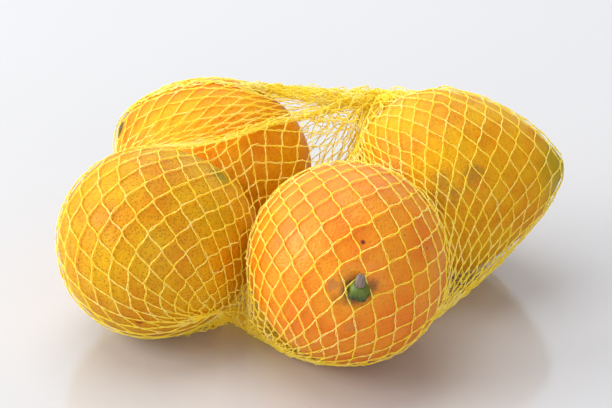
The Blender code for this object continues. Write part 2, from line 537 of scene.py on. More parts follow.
def dress(piece: bpy.types.Object) -> bpy.types.Object:
    """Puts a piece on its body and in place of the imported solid, and reports it.

    Args:
        piece: The piece.

    Returns:
        The piece.
    """
    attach(piece, BODY)
    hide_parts(NODE)
    log.info("%s: %d faces", piece.name, len(piece.data.polygons))
    return piece


def turned_faces(rings: int, sides: int) -> Faces:
    """Faces of a turned form whose first and last vertices are its two ends.

    Args:
        rings: The number of rings between the ends.
        sides: The number of vertices in a ring.

    Returns:
        The faces.
    """
    faces = []
    last = 1 + rings * sides
    for side in range(sides):
        after = (side + 1) % sides
        faces.append([0, 1 + after, 1 + side])
        for ring in range(rings - 1):
            start = 1 + ring * sides
            faces.append([start + side, start + after, start + sides + after, start + sides + side])
        start = 1 + (rings - 1) * sides
        faces.append([start + side, start + after, last])
    return faces


def sweep(paths: Array, normals: Array, radius: float, sides: int) -> tuple[Array, Faces]:
    """Tubes along paths, closed at both ends.

    Args:
        paths: The points, in an array of path, point and place.
        normals: A way across the path at each point, in an array of the same shape.
        radius: The tubes' radius.
        sides: The number of sides of a tube.

    Returns:
        The vertices and the faces.
    """
    count, length, _ = paths.shape
    along = unit(np.gradient(paths, axis=1))
    across = unit(np.cross(along, normals))
    up = np.cross(across, along)
    turn = FULL_TURN * np.arange(sides) / sides
    ring = np.cos(turn)[:, None] * across[:, :, None] + np.sin(turn)[:, None] * up[:, :, None]
    taper = np.ones(length)
    taper[[0, -1]] = END_TAPER
    points = (paths[:, :, None] + radius * taper[None, :, None, None] * ring).reshape(-1, 3)
    first = (np.arange(count)[:, None] * length + np.arange(length - 1)) * sides
    side = np.arange(sides)
    after = (side + 1) % sides
    base = first[:, :, None]
    quads = np.stack([base + side, base + after, base + sides + after, base + sides + side], axis=-1)
    faces = quads.reshape(-1, 4).tolist()
    for path in range(count):
        start = path * length * sides
        end = start + (length - 1) * sides
        faces.append([start + int(k) for k in side[::-1]])
        faces.append([end + int(k) for k in side])
    return points, faces


def unit(vectors: Array) -> Array:
    """The vectors at length one."""
    return vectors / np.maximum(np.linalg.norm(vectors, axis=-1, keepdims=True), TINY)


# ------------------------------------------------------------------------------
# The fruit

# Unevenness of the peel: how many waves for each metre, and how deep the two finer ones are.
LUMPS, DENTS, GRAIN = 55, 190, 520
DENT_DEPTH, GRAIN_DEPTH = 0.00012, 0.00004


def bell(distance: Array, width: float) -> Array:
    """A bell curve: one where the distance is nought, and nearly nought beyond twice the width."""
    return np.exp(-((distance / width) ** 2))


@dataclass(frozen=True)
class Lemon:
    """One fruit: where its middle lies, where its blossom end points, its sizes and its peel."""

    name: str
    x: float
    y: float
    heading: float  # degrees from +X towards +Y
    tilt: float  # degrees above level
    radius: float
    stem_reach: float
    blossom_reach: float
    roundness: tuple[float, float]  # of the blossom end
    peel: PeelFinish
    nipple: float = 0.0  # how deep the groove round the blossom tip is
    groove: tuple[float, float] = (0.0075, 0.0028)  # its radius and width
    ribs: int = 7
    rib_depth: float = 0.00022
    rib_place: tuple[float, float] = (0.008, 0.006)  # radius and width of the ring of ribs at either end
    blossom_ribs: float = 0.4  # how deep they are at the blossom end, as a share
    hollow: tuple[float, float] = (0.0011, 0.0052)  # depth and width of the dent at the stem end
    lump: float = 0.0003
    seed: float = 0.0
    yarn: float = 0.0008  # the net under the fruit
    stem_roundness: tuple[float, float] = (2.2, 0.5)
    samples: int = 400  # places along the axis at which the lowest point is looked for
    rings: int = 84
    sides: int = 120

    @cached_property
    def axis(self) -> Array:
        """The way the blossom end points."""
        heading, tilt = math.radians(self.heading), math.radians(self.tilt)
        level = math.cos(tilt)
        return np.array((level * math.cos(heading), level * math.sin(heading), math.sin(tilt)))

    def radius_at(self, along: Array) -> Array:
        """The fruit's radius.

        Args:
            along: Places along the axis, from -stem_reach to blossom_reach.

        Returns:
            The radius at each.
        """
        along = np.asarray(along, float)
        to_blossom = along > 0
        reach = np.where(to_blossom, self.blossom_reach, self.stem_reach)
        power = np.where(to_blossom, self.roundness[0], self.stem_roundness[0])
        root = np.where(to_blossom, self.roundness[1], self.stem_roundness[1])
        share = np.minimum(np.abs(along) / reach, 1)
        return self.radius * (1 - share**power) ** root

    @cached_property
    def middle(self) -> Array:
        """The middle's place, at the height where the fruit just clears the net under it."""
        along = np.linspace(-self.stem_reach, self.blossom_reach, self.samples)
        level = math.cos(math.radians(self.tilt))
        lowest = (along * self.axis[2] - self.radius_at(along) * level).min()
        return np.array((self.x, self.y, self.yarn - lowest))

    @property
    def stem_end(self) -> Array:
        """The place of the stem end."""
        return self.middle - self.axis * self.stem_reach

    def surface(self) -> Array:
        """The peel's vertices in the fruit's own frame, whose Z points to the blossom end.

        Returns:
            The stem end, the rings in order and the blossom end.
        """
        share = np.cos(math.pi * np.arange(1, self.rings + 1) / (self.rings + 1))
        long, off_centre = self.blossom_reach + self.stem_reach, self.blossom_reach - self.stem_reach
        along = off_centre / 2 - share * long / 2
        out = self.radius_at(along)
        turn = FULL_TURN * np.arange(self.sides) / self.sides
        radius, width = self.rib_place
        dips = np.cos(self.ribs * turn + self.seed) - 1
        ribs = self.rib_depth * bell(out[:, None] - radius, width) * dips
        ribs = np.where(along[:, None] < 0, ribs, self.blossom_ribs * ribs)
        radius, width = self.groove
        groove = self.nipple * bell(out - radius, width) * (along > 0)
        out = out[:, None] + ribs - groove[:, None]
        depth, width = self.hollow
        height = along[:, None] + depth * bell(out, width) * (along[:, None] < 0)
        rings = np.stack([out * np.cos(turn), out * np.sin(turn), height], axis=-1).reshape(-1, 3)
        return np.concatenate([[[0, 0, -self.stem_reach + depth]], rings, [[0, 0, self.blossom_reach]]])

    def build(self, effects: Effects) -> bpy.types.Object:
        """Makes the fruit.

        Args:
            effects: The shared node groups.

        Returns:
            The fruit, placed in the net.
        """
        points = self.surface()
        away = Vector((self.seed * 3.1, self.seed * 1.7, 0))
        for number, point in enumerate(points):
            place = Vector(point)
            broad = noise.noise(place * LUMPS + away) - 0.5
            small = noise.noise(place * DENTS + away) - 0.5
            fine = noise.noise(place * GRAIN - away) - 0.5
            inward = self.lump * broad + DENT_DEPTH * small + GRAIN_DEPTH * fine
            points[number] = point + inward * np.array(place.normalized())
        turn = Vector(self.axis).to_track_quat("Z", "Y")
        placed = points @ np.array(turn.to_matrix()).T + self.middle
        middle, tip = Vector(self.middle), self.blossom_reach
        peel = self.peel.make(self.name + "_peel", middle, turn.to_euler(), tip, self.seed, effects)
        faces = turned_faces(self.rings, self.sides)
        return dress(new_object("lemon_" + self.name, placed, faces, peel))


# Gives the radius's factor and the height's change of a ring, for its share of the profile and the turn angles.
RingShape = Callable[[float, Array], tuple[Array, Array]]


@dataclass(frozen=True)
class Stem:
    """The green calyx on one fruit and the dry stub of stem that stands out of it through the net."""

    foot: Array
    lean: Vector = Vector((0.08, -0.36, 0.93)).normalized()
    calyx_radius: float = 0.0034
    calyx_height: float = 0.0035
    lobes: int = 5
    stub_radius: float = 0.00145
    stub_length: float = 0.0052
    sides: int = 80
    clear_radius: float = 0.0022  # how far the net keeps from the stub's axis

    @property
    def place(self) -> Matrix:
        """The calyx's frame: its Z points along the stub."""
        return Matrix.Translation(self.foot) @ self.lean.to_track_quat("Z", "Y").to_matrix().to_4x4()

    def turned(
        self, name: str, profile: list[tuple[float, float]], shape: RingShape, material: bpy.types.Material
    ) -> bpy.types.Object:
        """A turned form with an uneven outline.

        Args:
            name: The piece's name.
            profile: Radius and height of each ring, from the foot to the top.
            shape: Gives the radius's factor and the height's change, for a ring's share and the turn angles.
            material: Its finish.

        Returns:
            The object, standing on the fruit.
        """
        turn = FULL_TURN * np.arange(self.sides) / self.sides
        points = [np.array([[0, 0, profile[0][1]]])]
        for number, (radius, height) in enumerate(profile):
            factor, lift = shape(number / (len(profile) - 1), turn)
            ring = [radius * factor * np.cos(turn), radius * factor * np.sin(turn), height + lift + 0 * turn]
            points.append(np.stack(ring, axis=-1))
        points.append(np.array([[0, 0, profile[-1][1]]]))
        made = new_object(name, np.concatenate(points), turned_faces(len(profile), self.sides), material)
        made.matrix_world = self.place
        return made

    def calyx(self, material: bpy.types.Material) -> bpy.types.Object:
        """The green calyx: a thick five-lobed collar round the stub's foot.

        Args:
            material: Its finish.

        Returns:
            The object.
        """
        steps = 26
        widest = 0.35  # the place along the profile, as a share
        foot = 0.35  # the foot's radius, as a share of the widest
        sunk = 0.0012  # how deep the foot goes
        narrowing = 0.52  # how much narrower the collar's rim is than its widest place
        lobe_depth, lobe_drop = 0.10, 0.00025
        profile = []
        for step in range(steps + 1):
            angle = math.pi * (step / steps - widest)
            if angle < 0:
                radius = self.calyx_radius * (foot + (1 - foot) * math.cos(angle) ** 0.6)
                profile.append((radius, sunk * math.sin(angle)))
            else:
                share = angle / ((1 - widest) * math.pi)
                waves = 0.0001 * math.sin(3 * math.pi * share)
                radius = self.calyx_radius * (1 - narrowing * share**1.3) - waves
                profile.append((radius, self.calyx_height * math.sin(share * math.pi / 2) ** 1.15))
        profile.append((self.stub_radius * 0.9, self.calyx_height * 0.93))

        def shape(share: float, turn: Array) -> tuple[Array, Array]:
            """Five soft lobes that fade towards the stub."""
            edge = math.exp(-(((share - widest) / 0.3) ** 2))
            wave = np.cos(self.lobes * turn + 0.6) + 0.35 * np.cos(2 * turn + 1.0)
            return 1 + lobe_depth * edge * wave, -lobe_drop * edge * wave

        return self.turned("calyx", profile, shape, material)

    def stub(self, material: bpy.types.Material) -> bpy.types.Object:
        """The stub of stem: ridged, a little narrower towards its cut end, with a rough top.

        Args:
            material: Its finish.

        Returns:
            The object.
        """
        steps = 30
        sunk = 0.55  # how high the stub begins, as a share of the calyx
        waist, taper = 0.3, 2.2
        ridge_depth, fine_depth, bend_depth, roughness = 0.05, 0.03, 0.04, 0.00012
        profile = []
        for step in range(steps + 1):
            share = step / steps
            hollow = waist * math.sin(math.pi * min(share * 1.1, 1)) * 0.5
            narrowing = max(0.0, share - 0.55) ** 2 * taper
            radius = self.stub_radius * (1.12 - hollow + 0.05 * share) * (1 - narrowing)
            profile.append((radius, self.calyx_height * sunk + self.stub_length * share))
        top = profile[-1][1]
        profile += [(self.stub_radius * 0.5, top + 0.00012), (self.stub_radius * 0.25, top - 0.0001)]

        def shape(share: float, turn: Array) -> tuple[Array, Array]:
            """Ridges along the stub and an uneven top."""
            ridges = ridge_depth * np.cos(7 * turn + 0.5 * math.sin(5 * share))
            ridges = ridges + fine_depth * np.cos(13 * turn + 2 * share)
            bend = bend_depth * np.cos(turn + 4 * share)
            rough = np.cos(3 * turn + 1) + 0.6 * np.cos(8 * turn)
            return 1 + ridges + bend, roughness * max(0.0, share - 0.8) * 5 * rough

        return self.turned("stem_stub", profile, shape, material)

    def build(self, effects: Effects) -> list[bpy.types.Object]:
        """Makes the calyx and the stub.

        Args:
            effects: The shared node groups.

        Returns:
            Both pieces.
        """
        green = StemFinish(
            foot=(0.012, 0.025, 0.003), top=(0.10, 0.155, 0.010), streak=(0.18, 0.22, 0.02),
            low=-0.0008, high=0.0026, roughness=(0.35, 0.5), relief=0.00008,
        )
        grey = StemFinish(
            foot=(0.14, 0.075, 0.035), top=(0.26, 0.19, 0.16), streak=(0.11, 0.07, 0.055),
            low=0.0014, high=0.0040, roughness=(0.6, 0.8), relief=0.00018,
        )
        pieces = [self.calyx(green.make("calyx_green", effects)), self.stub(grey.make("dry_stem", effects))]
        bpy.context.view_layer.update()
        return [dress(piece) for piece in pieces]

    def clearance(self, points: Array, gap: float) -> Array:
        """The move that takes each point off the stub and the calyx, to the gap from them.

        Args:
            points: The points.
            gap: The least distance.

        Returns:
            The moves, one row each.
        """
        lean = np.array(self.lean)
        from_foot = points - self.foot
        along = from_foot @ lean
        near = np.clip(along, 0, self.calyx_height + self.stub_length)
        outward = from_foot - near[:, None] * lean
        away = np.linalg.norm(outward, axis=1)
        foot = np.clip(1 - near / self.calyx_height, 0, 1)
        keep = self.clear_radius + (self.calyx_radius - self.clear_radius) * foot
        depth = np.maximum(keep + gap - away, 0)
        return unit(outward) * depth[:, None]


# ------------------------------------------------------------------------------
# The net


# Where the net is held up over the gaps between the fruit: from the front left fruit to the back closure, and
# from the back left fruit over the closure to the right fruit.
TAUT_LINES = (
    ((-0.0405, -0.0039, 0.0571), (-0.0121, 0.0220, 0.0600), (0.0216, 0.0587, 0.0530)),
    (
        (-0.0290, 0.0420, 0.0632), (-0.0080, 0.0500, 0.0570), (0.0216, 0.0587, 0.0524),
        (0.0340, 0.0440, 0.0582),
    ),
)
# The middle of the dense band over the back left fruit, from its far left to the fold.
BAND_LINE = (
    (-0.0640, 0.0530, 0.0430), (-0.0540, 0.0520, 0.0500), (-0.0440, 0.0500, 0.0540),
    (-0.0335, 0.0480, 0.0566), (-0.0230, 0.0465, 0.0575), (-0.0120, 0.0480, 0.0572),
)
# The middle of the bunched fold behind the valley, from the back left fruit to the right fruit.
FOLD_LINE = (
    (-0.0230, 0.0440, 0.0612), (-0.0060, 0.0495, 0.0563), (0.0216, 0.0575, 0.0506), (0.0340, 0.0430, 0.0572),
)
# The net's low edge between the two front fruit, as x and y from left to right.
NOTCH = ((-0.0620, -0.1000), (-0.0560, -0.0390), (-0.0282, -0.0170), (-0.0120, -0.0370), (-0.0060, -0.1000))


@dataclass
class Net:
    """The knitted net: its cells, its yarn and how it is drawn tight round the fruit."""

    lemons: tuple[Lemon, ...]
    stem: Stem
    front: Point = (-0.0282, -0.0146, 0.0040)
    back: Point = (0.0216, 0.0587, 0.0520)
    taut: tuple[tuple[Point, ...], ...] = TAUT_LINES
    notch: tuple[tuple[float, float], ...] = NOTCH
    notch_height: float = 0.0040
    notch_slope: float = 1.3  # how far the edge lies back for each length that it rises
    tent_slope: float = 1.2  # how steeply the net falls away from a taut line
    tent_reach: float = 0.010  # how far from the line it is held up
    tent_depth: float = 0.012  # knots that lie deeper than this are left alone
    crumple: float = 0.0016  # how far the knots near the back closure lie out of line
    crumple_reach: float = 0.042
    round_cells: int = 117  # cells round the net
    rows: int = 38
    yarn: float = 0.0008  # how thick a cord is where the net lies on the fruit
    strand: float = 0.0057  # the length from knot to knot in the first lattice
    joined: float = 0.0008  # the length over which two cords run side by side at a knot
    free: float = 0.0049  # the length of a cord between two knots
    opening: float = 0.45  # how far a knot is opened to either side, as a share of the joined length
    uneven: float = 0.10
    joined_uneven: float = 0.15
    start_margin: float = 0.025
    draw_rounds: int = 560  # for the first lattice
    settle_rounds: int = 180  # for the second
    pulls: int = 4  # pulls along the links in each round
    pull_share: float = 0.8  # how much of a link's surplus one pull takes up
    slack: float = 0.6  # the share of its length below which a cord isn't gathered in further
    joined_slack: float = 0.95
    slack_pull: float = 0.15
    stiff_slack: float = 0.9  # links whose slack share is above this are stiff
    stiff_length: float = 0.8  # the share of its length below which a stiff link is pushed open
    stiff_push: float = 0.3
    weight: float = 0.00003
    glide: float = 0.92  # how much of a round's movement carries on into the next
    most_glide: float = 0.0015
    most_push: float = 0.003
    steepest: float = 6.0  # the most that a fruit's radius may change for each metre along its axis
    most_bow: float = 0.0011
    bow_lift: tuple[float, float] = (-0.1, 0.8)  # how a slack cord's bow lies out of the net
    cord_offset: float = 0.00028  # from a knot's middle to each of its two cords
    ply_radius: float = 0.00012
    ply_offset: float = 0.00018
    ply_flatness: float = 0.7
    ply_pitch: float = 0.0052  # the length over which the plies turn once
    pitch_change: float = 0.8  # how unevenly the plies turn, in radians
    pitch_wave: float = 0.031
    ply_wobble: float = 0.00009
    ply_sides: int = 4
    joined_steps: int = 2
    free_steps: int = 3
    seed: int = 7

    def clearance(self, points: Array, gap: float) -> Array:
        """The move that takes each point out of the fruit, to the gap from the nearest peel.

        Args:
            points: The points.
            gap: The least distance from the peel.

        Returns:
            The moves, one row each.
        """
        move = np.zeros_like(points)
        step = 1e-5
        for lemon in self.lemons:
            axis = lemon.axis
            from_middle = points + move - lemon.middle
            along = from_middle @ axis
            outward = from_middle - along[:, None] * axis
            out = np.linalg.norm(outward, axis=1)
            outward /= np.maximum(out, TINY)[:, None]
            near = np.clip(along, 2 * step - lemon.stem_reach, lemon.blossom_reach - 2 * step)
            slope = (lemon.radius_at(near + step) - lemon.radius_at(near - step)) / (2 * step)
            slope = np.clip(slope, -self.steepest, self.steepest)
            lean = 1 / np.sqrt(1 + slope**2)
            depth = np.minimum((lemon.radius_at(near) - out) * lean + gap, self.most_push)
            inside = (depth > 0) & (np.abs(along - near) < gap)
            normal = (outward - slope[:, None] * axis) * lean[:, None]
            move[inside] += (normal * depth[:, None])[inside]
        return move

    def hold_up(self, points: Array) -> Array:
        """The move that takes each point up to the net's taut lines and the slopes that fall away from them.

        Args:
            points: The points.

        Returns:
            The moves, one row each.
        """
        move = np.zeros_like(points)
        steep = math.hypot(1, self.tent_slope)
        for line in self.taut:
            for start, end in zip(line, line[1:]):
                way = np.subtract(end, start)[:2]
                length = np.linalg.norm(way)
                way /= length
                from_start = points + move - start
                share = from_start[:, :2] @ way / length
                across = from_start[:, 1] * way[0] - from_start[:, 0] * way[1]
                short = share * (end[2] - start[2]) - self.tent_slope * np.abs(across) - from_start[:, 2]
                held = (share > 0) & (share < 1) & (short > 0) & (short < self.tent_depth)
                held &= np.abs(across) < self.tent_reach
                lean = self.tent_slope * np.sign(across)
                normal = np.stack([-way[1] * lean, way[0] * lean, np.ones_like(lean)], axis=-1) / steep
                move[held] += (normal * (short / steep)[:, None])[held]
        return move

    def draw_back(self, points: Array) -> Array:
        """The move that takes each point up and back to the slope that rises forwards from the front notch.

        Args:
            points: The points.

        Returns:
            The moves, one row each.
        """
        edges = np.array(self.notch)
        edge = np.interp(points[:, 0], edges[:, 0], edges[:, 1])
        low = self.notch_height + (edge - points[:, 1]) / self.notch_slope - points[:, 2]
        steep = math.hypot(1, 1 / self.notch_slope)
        depth = np.clip(low / steep, 0, self.most_push)
        return depth[:, None] * np.array((0, 1 / self.notch_slope, 1)) / steep

    def start(self) -> Array:
        """The knots on a sphere stretched round all the fruit, with its poles at the closures.

        Returns:
            The rows of knots from front to back, then the front and the back closure.
        """
        turn = FULL_TURN * (np.arange(self.round_cells)) / self.round_cells
        rows = []
        for row in range(self.rows):
            polar = math.pi * (row + 1) / (self.rows + 1)
            angle = turn + (0.5 * FULL_TURN / self.round_cells) * (row % 2 == 0)
            out, up = math.sin(polar), -math.cos(polar) + 0 * angle
            rows.append(np.stack([out * np.cos(angle), out * np.sin(angle), up], axis=-1))
        sphere = np.concatenate([*rows, [[0, 0, -1], [0, 0, 1]]])
        middles = np.array([lemon.middle for lemon in self.lemons])
        reach = max(lemon.radius for lemon in self.lemons)
        low, high = middles.min(axis=0) - reach, middles.max(axis=0) + reach
        way = (Vector(self.back) - Vector(self.front)).to_track_quat("Z", "X").to_matrix()
        turned = sphere @ np.array(way).T
        return turned * ((high - low) / 2 + self.start_margin) + (low + high) / 2

    def neighbour(self, row: int) -> Array:
        """The column, in the next row, of the second cord's knot: one back or one on."""
        columns = np.arange(self.round_cells)
        return (columns + (1 if row % 2 == 0 else -1)) % self.round_cells

    def strands(self, lower: Array, upper: Array, ends: tuple[int, int]) -> Array:
        """The strands between rows, as pairs of numbers.

        Args:
            lower: The number of each knot's side towards the front, by row and column.
            upper: The number of each knot's side towards the back.
            ends: The numbers of the two closures.

        Returns:
            The pairs.
        """
        pairs = []
        for row in range(self.rows - 1):
            second = self.neighbour(row)
            pairs += [np.stack([upper[row], lower[row + 1]], axis=-1)]
            pairs += [np.stack([upper[row], lower[row + 1][second]], axis=-1)]
        pairs += [np.stack([np.full(self.round_cells, ends[0]), lower[0]], axis=-1)]
        pairs += [np.stack([upper[-1], np.full(self.round_cells, ends[1])], axis=-1)]
        return np.concatenate(pairs)

    def draw(
        self, knots: Array, links: Array, lengths: Array, slack: Array, rounds: int, stem: bool
    ) -> Array:
        """Draws the net in: links at their length, clear of the fruit and the floor.

        Args:
            knots: The places, the two closures last.
            links: Pairs of numbers that a length of cord joins.
            lengths: How long each link may get.
            slack: The share of its length below which a link isn't gathered in further.
            rounds: How often the places are worked out again.
            stem: Whether the stub of stem is in the way.

        Returns:
            The new places.
        """
        count = len(knots)
        first, second = links.T
        at_knot = np.bincount(links.ravel(), minlength=count).astype(float)[:, None]

        def gathered(at_first: Array, at_second: Array) -> Array:
            """Each knot's share of what its links do to it.

            Args:
                at_first: What each link does to the knot at its first end.
                at_second: What it does to the knot at its second end.

            Returns:
                The mean for each knot.
            """
            total = np.empty_like(knots)
            for way in range(3):
                total[:, way] = np.bincount(first, at_first[:, way], count)
                total[:, way] += np.bincount(second, at_second[:, way], count)
            return total / at_knot

        closures = np.array((self.front, self.back))
        glide = np.zeros_like(knots)
        for _ in range(rounds):
            before = knots
            knots = knots + glide - (0, 0, self.weight)
            for _ in range(self.pulls):
                reach = knots[second] - knots[first]
                length = np.maximum(np.linalg.norm(reach, axis=1), TINY)
                pull = np.maximum(1 - lengths / length, 0)
                pull += self.slack_pull * np.maximum(1 - slack * lengths / length, 0)
                stiff = np.maximum(self.stiff_length * lengths / length - 1, 0) * (slack > self.stiff_slack)
                pull -= self.stiff_push * stiff
                pull = self.pull_share * pull[:, None] * reach
                knots = knots + gathered(pull, -pull)
                push = self.clearance((knots[first] + knots[second]) / 2, self.yarn / 2)
                knots = knots + gathered(push, push)
                knots = knots + self.clearance(knots, self.yarn / 2)
                knots = knots + self.hold_up(knots) + self.draw_back(knots)
                if stem:
                    push = self.stem.clearance((knots[first] + knots[second]) / 2, self.yarn / 2)
                    knots = knots + gathered(push, push) + self.stem.clearance(knots, self.yarn / 2)
                knots[:, 2] = np.maximum(knots[:, 2], self.ply_radius)
                knots[-2:] = closures
            glide = self.glide * (knots - before)
            speed = np.maximum(np.linalg.norm(glide, axis=1), TINY)
            glide *= np.minimum(1, self.most_glide / speed)[:, None]
        return knots

    def shape(self) -> tuple[Array, Array]:
        """The knots' places once the net is drawn tight.

        Returns:
            The side of each knot towards the front and that towards the back, by row, column and place.
        """
        total = self.rows * self.round_cells
        numbers = np.arange(total).reshape(self.rows, self.round_cells)
        links = self.strands(numbers, numbers, (total, total + 1))
        lengths, slack = np.full(len(links), self.strand), np.full(len(links), self.slack)
        knots = self.draw(self.start(), links, lengths, slack, self.draw_rounds, stem=False)
        grid = knots[:total].reshape(self.rows, self.round_cells, 3)
        before = np.concatenate([np.broadcast_to(knots[-2], grid[:1].shape), grid[:-1]])
        after = np.concatenate([grid[1:], np.broadcast_to(knots[-1], grid[:1].shape)])
        wale = unit(after - before)
        half = self.opening * self.joined * wale
        opened = np.concatenate([(grid - half).reshape(-1, 3), (grid + half).reshape(-1, 3), knots[-2:]])
        free = self.strands(numbers, numbers + total, (2 * total, 2 * total + 1))
        joined = np.stack([numbers.ravel(), numbers.ravel() + total], axis=-1)
        draws = np.random.default_rng(self.seed)
        free_lengths = self.free * (1 + self.uneven * draws.uniform(-1, 1, len(free)))
        joined_lengths = self.joined * (1 + self.joined_uneven * draws.uniform(-1, 1, len(joined)))
        slack = np.concatenate([np.full(len(free), self.slack), np.full(len(joined), self.joined_slack)])
        lengths = np.concatenate([free_lengths, joined_lengths])
        links = np.concatenate([free, joined])
        places = self.draw(opened, links, lengths, slack, self.settle_rounds, stem=True)
        sides = places[: 2 * total].reshape(2, self.rows, self.round_cells, 3)
        near = np.clip(1 - np.linalg.norm(sides.mean(axis=0) - self.back, axis=-1) / self.crumple_reach, 0, 1)
        sides = sides + self.crumple * near[..., None] * draws.normal(size=sides.shape[1:])
        return sides[0], sides[1]

    def paths(self) -> tuple[Array, Array]:
        """Every ply's path.

        Returns:
            The points and the normals of all plies, each in an array of ply, point and place.
        """
        lower, upper = self.shape()
        middle = (lower + upper) / 2
        row_way = unit(np.roll(middle, -1, axis=1) - np.roll(middle, 1, axis=1))
        wale = unit(upper - lower)
        outward = unit(np.cross(wale, row_way))
        centre = middle.reshape(-1, 3).mean(axis=0)
        if ((middle - centre) * outward).sum() < 0:
            outward = -outward
        across = unit(row_way - (row_way * wale).sum(axis=-1, keepdims=True) * wale)
        draws = np.random.default_rng(self.seed + 1)
        rows = np.arange(self.rows)
        cords, cord_normals = [], []
        for leaning in (0, 1):
            for column in range(self.round_cells):
                at = (column + (-(rows // 2) if leaning else (rows + 1) // 2)) % self.round_cells
                side = 1 - 2 * leaning  # the cords change sides along each knot
                points, normals = [np.array([self.front])], [outward[0, at[0]][None]]
                share = np.linspace(0, 1, self.joined_steps)[:, None]
                for row in rows:
                    low, high = lower[row, at[row]], upper[row, at[row]]
                    way, out = across[row, at[row]], outward[row, at[row]]
                    if row:
                        self.add_free(points, normals, low, out, way, draws)
                    offset = self.cord_offset * side * np.cos(math.pi * share) * way
                    points.append(low + share * (high - low) - offset)
                    normals.append(np.repeat(out[None], self.joined_steps, axis=0))
                points.append(np.array([self.back]))
                normals.append(normals[-1][-1:])
                cords.append(np.concatenate(points))
                cord_normals.append(np.concatenate(normals))
        return self.plies(np.array(cords), np.array(cord_normals), draws)

    def add_free(
        self, points: list[Array], normals: list[Array], target: Array, out: Array, way: Array,
        draws: np.random.Generator,
    ) -> None:
        """Adds the points of a cord between two knots, bowed where it has length to spare.

        Args:
            points: The cord's points so far.
            normals: Its normals so far.
            target: Where the next knot begins.
            out: The normal there.
            way: The way along the row there.
            draws: The random numbers.
        """
        begin, normal = points[-1][-1], normals[-1][-1]
        chord = np.linalg.norm(target - begin)
        spare = max(self.free - chord, 0.0) * chord
        bow = min(2 / math.pi * math.sqrt(spare), self.most_bow)
        lift, lean = draws.uniform(*self.bow_lift), draws.uniform(-1, 1)
        share = np.arange(1, self.free_steps + 1)[:, None] / (self.free_steps + 1)
        arch = bow * np.sin(math.pi * share)
        points.append(begin + share * (target - begin) + arch * (lift * out + lean * way))
        normals.append(unit(normal + share * (out - normal)))

    def plies(self, cords: Array, normals: Array, draws: np.random.Generator) -> tuple[Array, Array]:
        """Splits every cord into its two plies, which turn about each other, clear of fruit and floor.

        Args:
            cords: The cords' points, by cord, point and place.
            normals: Their normals, in the same shape.
            draws: The random numbers.

        Returns:
            The points and the normals of all plies.
        """
        cords[:, 1:-1] = (cords[:, :-2] + 4 * cords[:, 1:-1] + cords[:, 2:]) / 6
        along = unit(np.gradient(cords, axis=1))
        across = unit(np.cross(along, normals))
        travelled = np.cumsum(np.linalg.norm(np.diff(cords, axis=1, prepend=cords[:, :1]), axis=-1), axis=1)
        phase = draws.uniform(0, FULL_TURN, len(cords))[:, None]
        turn = FULL_TURN * travelled / self.ply_pitch + phase
        turn += self.pitch_change * np.sin(FULL_TURN * travelled / self.pitch_wave + 3 * phase)
        up = self.ply_flatness * np.sin(turn)[..., None] * normals
        offset = self.ply_offset * (np.cos(turn)[..., None] * across + up)
        both = np.concatenate([cords + offset, cords - offset])
        both += self.wobble(both.shape, self.ply_wobble, draws)
        return self.kept_clear(both, 3), np.concatenate([normals, normals])

    def kept_clear(self, plies: Array, rounds: int) -> Array:
        """Moves plies clear of the fruit, the stem and the floor.

        Args:
            plies: Their points, by ply, point and place.
            rounds: How often they are moved.

        Returns:
            The new points.
        """
        points = plies.reshape(-1, 3)
        for _ in range(rounds):
            points = points + self.clearance(points, self.ply_radius)
            points = points + self.stem.clearance(points, self.ply_radius)
            points[:, 2] = np.maximum(points[:, 2], self.ply_radius)
        return points.reshape(plies.shape)

    def wobble(self, shape: tuple[int, ...], size: float, draws: np.random.Generator) -> Array:
        """Smooth small moves along each path, of about the size given."""
        rough = draws.normal(0, size * 1.6, shape)
        return (np.roll(rough, 1, axis=1) + rough + np.roll(rough, -1, axis=1)) / 3

    def build(self, material: bpy.types.Material, pieces: int = 4) -> list[bpy.types.Object]:
        """Makes the cords.

        Args:
            material: The yarn's finish.
            pieces: How many objects they are split over.

        Returns:
            The objects.
        """
        points, normals = self.paths()
        made = []
        for number in range(pieces):
            chosen = slice(number, None, pieces)
            made.append(self.knit(f"net_cords_{number + 1}", points[chosen], normals[chosen], material))
        return made

    def knit(self, name: str, plies: Array, normals: Array, material: bpy.types.Material) -> bpy.types.Object:
        """Makes one piece of the net from its plies' points and normals."""
        points, faces = sweep(plies, normals, self.ply_radius, self.ply_sides)
        return dress(new_object(name, points, faces, material))

    def lay(self, name: str, plies: list[Array], up: Array, material: bpy.types.Material) -> bpy.types.Object:
        """Makes loose cords that lie on the net.

        Args:
            name: The piece's name.
            plies: The path of each ply.
            up: The way out of the net, for all plies or for each point of one.
            material: The yarn's finish.

        Returns:
            The object.
        """
        points = self.kept_clear(np.array(plies), 4)
        return self.knit(name, points, np.broadcast_to(up, points.shape), material)


